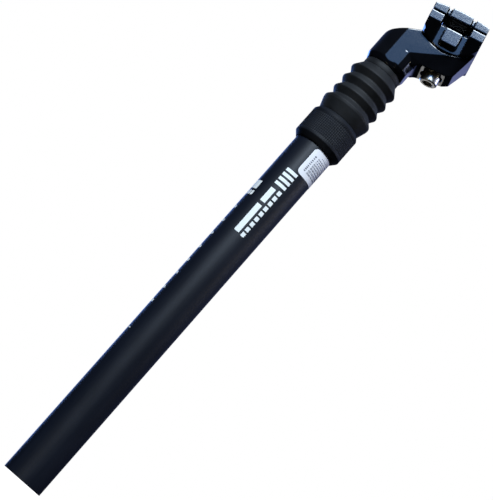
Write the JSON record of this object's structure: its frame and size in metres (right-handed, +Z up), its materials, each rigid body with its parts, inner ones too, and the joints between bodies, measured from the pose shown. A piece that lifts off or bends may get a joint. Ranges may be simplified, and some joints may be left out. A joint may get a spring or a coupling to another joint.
{
  "type": "suspension seatpost",
  "caption": "Telescopic bicycle seatpost: straight tube, knurled collar, ribbed boot and a set-back head with a tilting one-bolt saddle clamp.",
  "frame": {"origin": "centre of the outer tube's bottom end", "axes": "+Z up the tube towards the saddle, +X to the rear of the bicycle (the clamp is set back), +Y to the rider's right"},
  "size_m": [0.0573, 0.054, 0.3995],
  "materials": {
    "anodised_tube": "black anodised, satin",
    "collar": "knurled, matt black",
    "bushing_plastic": "natural acetal",
    "seat_plastic": "moulded",
    "elastomer": "foamed elastomer",
    "rubber": "matt",
    "boot_rubber": "moulded, matt",
    "spring_steel": "oiled",
    "steel": "zinc plated",
    "bolt_steel": "bright plated",
    "alloy": "machined",
    "painted_head": "gloss black",
    "painted_clamp": "gloss black"
  },
  "bodies": {
    "outer": {"outer_tube": "anodised_tube", "collar_nut": "collar", "guide_bushing": "bushing_plastic", "guide_key_1": "steel", "guide_key_2": "steel", "guide_key_3": "steel", "wiper_seal": "rubber", "boot": "boot_rubber", "main_spring": "spring_steel"},
    "preload_stack": {"spacer_sleeve": "bushing_plastic", "lower_spring_seat": "seat_plastic", "bump_stop": "elastomer"},
    "preload_screw": {"preload_plug": "alloy", "plug_o_ring": "rubber"},
    "leg": {"inner_tube": "alloy", "head": "painted_head", "upper_spring_seat": "seat_plastic", "retaining_ring": "steel", "glide_ring": "bushing_plastic", "topout_bumper": "rubber", "bolt_washer": "steel"},
    "bolt": {"clamp_bolt": "bolt_steel"},
    "nut": {"clamp_nut": "steel"},
    "lower": {"lower_clamp": "painted_clamp"},
    "upper": {"upper_clamp": "painted_clamp"}
  },
  "joints": [
    {"name": "suspension_travel", "type": "slide", "parent": "outer", "child": "leg", "axis": [0, 0, -1], "range_m": [0, 0.03], "stiffness_N_per_m": 9000, "deforming": ["boot", "main_spring"]},
    {"name": "clamp_tilt", "type": "hinge", "parent": "leg", "child": "lower", "pos_m": [0.0174, 0, 0.3933], "axis": [0, 1, 0], "range_deg": [-10, 10]},
    {"name": "upper_clamp_tilt", "type": "hinge", "parent": "nut", "child": "upper", "pos_m": [0.0174, 0, 0.3933], "axis": [0, 1, 0], "range_deg": [-10.01, 10.01]},
    {"name": "bolt_turn", "type": "hinge", "parent": "leg", "child": "bolt", "pos_m": [0.0174, 0, 0.3933], "axis": [0.2079, 0, -0.9781], "range_deg": [0, 1729]},
    {"name": "nut_travel", "type": "slide", "parent": "leg", "child": "nut", "axis": [-0.2079, 0, 0.9781], "range_m": [0, 0.006]},
    {"name": "preload_travel", "type": "slide", "parent": "outer", "child": "preload_stack", "axis": [0, 0, 1], "range_m": [0, 0.008], "deforming": ["main_spring"]},
    {"name": "preload_turn", "type": "hinge", "parent": "preload_stack", "child": "preload_screw", "pos_m": [0, 0, 0.009], "axis": [0, 0, 1], "range_deg": [0, 1921]}
  ],
  "couplings": [
    {"joint": "bolt_turn", "follows": "nut_travel", "rad_per_m": 5026.5},
    {"joint": "upper_clamp_tilt", "follows": "clamp_tilt", "ratio": 1},
    {"joint": "preload_turn", "follows": "preload_travel", "rad_per_m": 4188.8}
  ]
}
